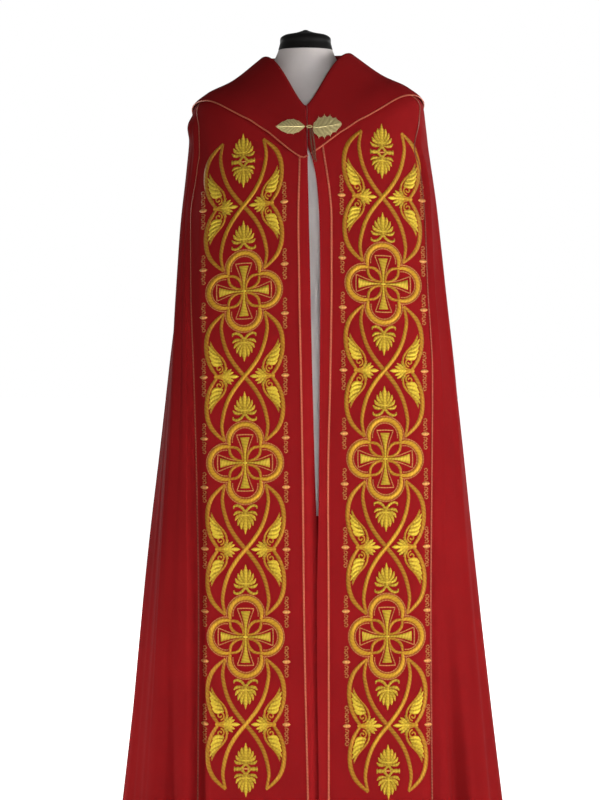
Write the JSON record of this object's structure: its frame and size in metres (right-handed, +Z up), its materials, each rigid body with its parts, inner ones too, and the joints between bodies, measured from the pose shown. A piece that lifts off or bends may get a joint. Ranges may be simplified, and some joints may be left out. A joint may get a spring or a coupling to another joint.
{
  "type": "cope vestment on a dress form",
  "caption": "Long open cope of plain red cloth with gold-embroidered front bands, a broad shawl collar and a brass leaf clasp, standing on a limbless dress form.",
  "frame": {"origin": "on the floor, at the middle of the dress form's base", "axes": "+Z up; the garment's front faces -Y; +X is to the right when looking at its front"},
  "size_m": [0.7715, 0.5645, 1.627],
  "materials": {
    "cope_cloth": "matte plain weave",
    "band_cloth": "matte plain weave",
    "border_cloth": "matte plain weave",
    "collar_cloth": "matte plain weave",
    "gold_braid": "metallic thread",
    "clasp_brass": "antique",
    "form_cover": "matte jersey",
    "form_black": "satin"
  },
  "bodies": {
    "root": {"body_cloth": "cope_cloth", "orphrey_left": "band_cloth", "orphrey_right": "band_cloth", "border_left": "border_cloth", "border_right": "border_cloth", "collar": "collar_cloth", "collar_piping": "gold_braid", "braid_inner_left": "gold_braid", "braid_outer_left": "gold_braid", "braid_inner_right": "gold_braid", "braid_outer_right": "gold_braid", "clasp_leaf_left": "clasp_brass", "clasp_leaf_right": "clasp_brass", "clasp_link": "clasp_brass", "clasp_chain": "clasp_brass", "form_torso": "form_cover", "form_neck_cap": "form_black", "form_pole": "form_black", "form_base": "form_black"}
  },
  "joints": []
}
